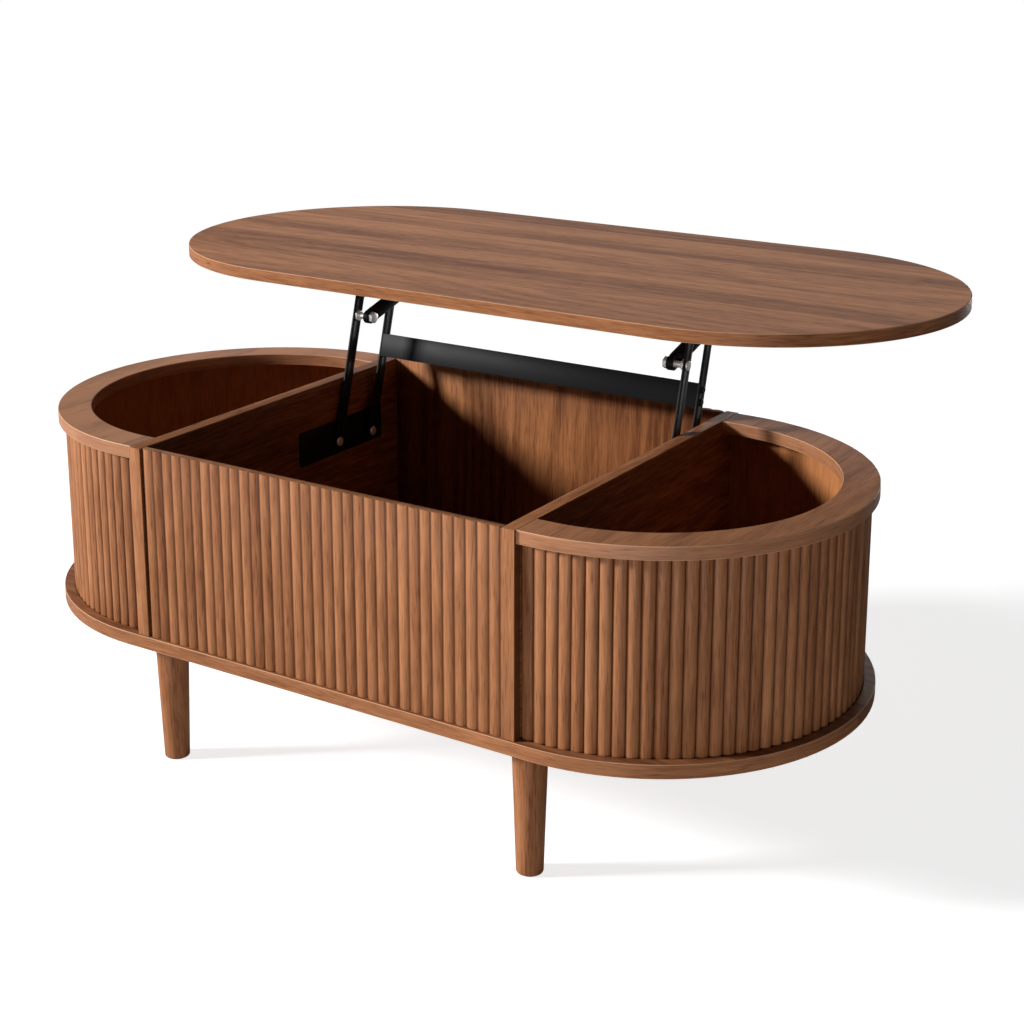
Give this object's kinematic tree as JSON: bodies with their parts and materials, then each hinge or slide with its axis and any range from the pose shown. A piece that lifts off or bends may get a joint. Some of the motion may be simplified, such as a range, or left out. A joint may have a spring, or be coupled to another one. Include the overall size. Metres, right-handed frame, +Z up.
{
  "type": "lift-top coffee table",
  "caption": "Rounded walnut coffee table with fluted walls and open compartments; its top rises and slides back on folding steel arms with struts.",
  "frame": {"origin": "on the floor, under the middle of the table's box with the top raised", "axes": "+X along the table's length, +Y towards the side that the raised top moves to, +Z up"},
  "size_m": [1.054, 0.75, 0.5563],
  "materials": {
    "walnut_top": "satin walnut veneer",
    "walnut_board": "satin walnut veneer",
    "walnut_fluted": "satin walnut veneer",
    "walnut_leg": "satin stained wood",
    "dowel_wood": "raw beech",
    "black_steel": "satin black powder coat",
    "zinc_steel": "zinc plated",
    "chrome_rod": "polished"
  },
  "bodies": {
    "cabinet": {"back_left_leg": "walnut_leg", "back_left_leg_plate": "black_steel", "back_panel": "walnut_fluted", "back_right_leg": "walnut_leg", "back_right_leg_plate": "black_steel", "base_board": "walnut_board", "base_bracket_screws": "zinc_steel", "base_screws": "zinc_steel", "front_left_leg": "walnut_leg", "front_left_leg_plate": "black_steel", "front_panel": "walnut_fluted", "front_right_leg": "walnut_leg", "front_right_leg_plate": "black_steel", "left_base_bracket": "black_steel", "left_end_backing": "walnut_board", "left_end_ring": "walnut_board", "left_end_slats": "walnut_fluted", "left_partition": "walnut_board", "leg_hanger_bolts": "zinc_steel", "leg_plate_screws": "zinc_steel", "lower_pivot_rivets": "zinc_steel", "lower_pivot_washers": "zinc_steel", "panel_dowels": "dowel_wood", "rear_pivot_bushes": "zinc_steel", "right_base_bracket": "black_steel", "right_end_backing": "walnut_board", "right_end_ring": "walnut_board", "right_end_slats": "walnut_fluted", "right_partition": "walnut_board", "ring_dowels": "dowel_wood"},
    "rear_arms": {"right_rear_arm": "black_steel", "left_rear_arm": "black_steel", "crossbar": "black_steel", "crossbar_rivets": "zinc_steel"},
    "front_arms": {"right_front_arm": "black_steel", "left_front_arm": "black_steel", "strut_bolts": "zinc_steel", "strut_nuts": "zinc_steel"},
    "lift_top": {"tabletop": "walnut_top", "right_top_bracket": "black_steel", "left_top_bracket": "black_steel", "top_bracket_screws": "zinc_steel", "upper_pivot_rivets": "zinc_steel", "upper_pivot_washers": "zinc_steel"},
    "strut_tubes": {"right_strut_tube": "black_steel", "left_strut_tube": "black_steel"},
    "strut_rods": {"right_strut_rod": "chrome_rod", "left_strut_rod": "chrome_rod", "strut_pins": "zinc_steel"}
  },
  "joints": [
    {"name": "lift", "type": "hinge", "parent": "cabinet", "child": "rear_arms", "pos_m": [0, 0.046, 0.31469], "axis": [1, 0, 0], "range_deg": [0, 91.8]},
    {"name": "front_arm_fold", "type": "hinge", "parent": "cabinet", "child": "front_arms", "pos_m": [0, -0.017, 0.31469], "axis": [1, 0, 0], "range_deg": [0, 91.8]},
    {"name": "top_level", "type": "hinge", "parent": "rear_arms", "child": "lift_top", "pos_m": [0, 0.09978, 0.50733], "axis": [1, 0, 0], "range_deg": [-91.8, 0]},
    {"name": "strut_swing", "type": "hinge", "parent": "front_arms", "child": "strut_tubes", "pos_m": [0, 0.02737, 0.47362], "axis": [1, 0, 0], "range_deg": [-97.21, 0]},
    {"name": "strut_slide", "type": "slide", "parent": "strut_tubes", "child": "strut_rods", "axis": [0, 0.9613, 0.2756], "range_m": [-0.04813, 0]}
  ],
  "couplings": [
    {"joint": "front_arm_fold", "follows": "lift", "ratio": 1},
    {"joint": "top_level", "follows": "lift", "ratio": -1},
    {"joint": "strut_swing", "follows": "lift", "ratio": -1.0589},
    {"joint": "strut_slide", "follows": "lift", "m_per_rad": -0.030037}
  ]
}
